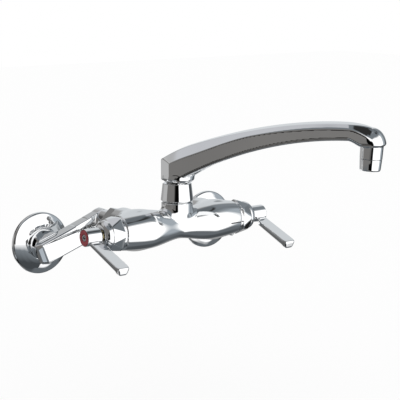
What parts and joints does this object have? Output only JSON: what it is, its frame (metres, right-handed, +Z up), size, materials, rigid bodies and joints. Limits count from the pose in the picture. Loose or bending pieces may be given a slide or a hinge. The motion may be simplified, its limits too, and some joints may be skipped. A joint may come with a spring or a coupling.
{
  "type": "wall mount sink faucet",
  "caption": "Wall-mounted sink faucet with a cast body, adjustable supply arms, lever handles on each side and a swinging cast spout.",
  "frame": {"origin": "midway between the two wall inlets, on the wall plane that the flanges rest against", "axes": "+X to the cold side along the wall, +Y into the wall, +Z up; the faucet faces -Y"},
  "size_m": [0.2692, 0.2409, 0.1528],
  "materials": {
    "chrome": "polished plate",
    "brass": "machined",
    "rubber": "matte",
    "stainless": "satin",
    "hot_red": "gloss",
    "cold_blue": "gloss"
  },
  "bodies": {
    "body": {"faucet_body": "chrome", "spout_nut": "chrome", "hot_bonnet_cap": "chrome", "hot_bonnet_nut": "chrome", "hot_cartridge": "brass", "hot_seat": "brass", "hot_union_nut": "chrome", "cold_bonnet_cap": "chrome", "cold_bonnet_nut": "chrome", "cold_cartridge": "brass", "cold_seat": "brass", "cold_union_nut": "chrome"},
    "spout": {"spout": "chrome", "spout_retaining_ring": "brass", "spout_upper_o_ring": "rubber", "spout_lower_o_ring": "rubber", "aerator_shell": "chrome", "aerator_insert": "stainless", "aerator_washer": "rubber"},
    "hot_handle": {"hot_lever": "chrome", "hot_index_ring": "hot_red", "hot_handle_screw": "stainless", "hot_stem": "brass", "hot_stem_o_ring": "rubber"},
    "hot_valve": {"hot_plunger": "brass", "hot_seat_washer": "rubber"},
    "hot_supply": {"hot_arm": "chrome", "hot_union_washer": "rubber", "hot_flange": "chrome"},
    "cold_handle": {"cold_lever": "chrome", "cold_index_ring": "cold_blue", "cold_handle_screw": "stainless", "cold_stem": "brass", "cold_stem_o_ring": "rubber"},
    "cold_valve": {"cold_plunger": "brass", "cold_seat_washer": "rubber"},
    "cold_supply": {"cold_arm": "chrome", "cold_union_washer": "rubber", "cold_flange": "chrome"}
  },
  "joints": [
    {"name": "spout_swing", "type": "hinge", "parent": "body", "child": "spout", "pos_m": [0, -0.09, 0.01974], "axis": [0, 0, 1], "range_deg": [-150, 66]},
    {"name": "hot_turn", "type": "hinge", "parent": "body", "child": "hot_handle", "pos_m": [-0.0972, -0.09, 0.01974], "axis": [1, 0, 0], "range_deg": [-90, 0]},
    {"name": "hot_lift", "type": "slide", "parent": "body", "child": "hot_valve", "axis": [-1, 0, 0], "range_m": [0, 0.0025]},
    {"name": "hot_arm_swing", "type": "hinge", "parent": "body", "child": "hot_supply", "pos_m": [-0.046, -0.045, 0.01974], "axis": [0, 1, 0], "range_deg": [-10, 19]},
    {"name": "cold_turn", "type": "hinge", "parent": "body", "child": "cold_handle", "pos_m": [0.0972, -0.09, 0.01974], "axis": [1, 0, 0], "range_deg": [-90, 0]},
    {"name": "cold_lift", "type": "slide", "parent": "body", "child": "cold_valve", "axis": [1, 0, 0], "range_m": [0, 0.0025]},
    {"name": "cold_arm_swing", "type": "hinge", "parent": "body", "child": "cold_supply", "pos_m": [0.046, -0.045, 0.01974], "axis": [0, 1, 0], "range_deg": [-19, 10]}
  ],
  "couplings": [
    {"joint": "hot_lift", "follows": "hot_turn", "m_per_rad": -0.00159},
    {"joint": "cold_lift", "follows": "cold_turn", "m_per_rad": -0.00159}
  ]
}
